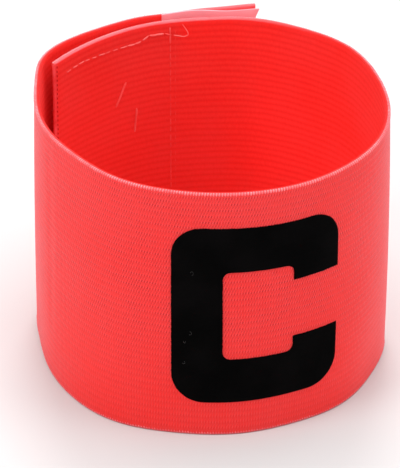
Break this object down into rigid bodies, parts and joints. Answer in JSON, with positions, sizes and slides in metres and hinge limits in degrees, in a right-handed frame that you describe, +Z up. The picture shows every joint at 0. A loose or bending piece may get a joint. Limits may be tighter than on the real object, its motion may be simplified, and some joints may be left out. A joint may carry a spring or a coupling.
{
  "type": "captain armband",
  "caption": "Elastic captain armband with a block letter on the front, closed by hook-and-loop tape and standing as a ring on its lower edge.",
  "frame": {"origin": "on the floor, under the middle of the whole object", "axes": "+Z up along the axis of the arm opening; -Y is the front, with the letter; the flap's free end is at the back, +Y"},
  "size_m": [0.089, 0.093, 0.0703],
  "materials": {
    "elastic_webbing": "ribbed woven elastic, coral red, matt with a soft sheen",
    "loop_pile": "brushed nylon loop pile, red, matt",
    "hook_strip": "pale pink nylon hooks on a woven backing",
    "flocked_letter": "black flocked transfer, matt"
  },
  "bodies": {
    "root": {"elastic_band": "elastic_webbing", "loop_tape": "loop_pile", "hook_tape": "hook_strip", "letter_c": "flocked_letter"}
  },
  "joints": []
}
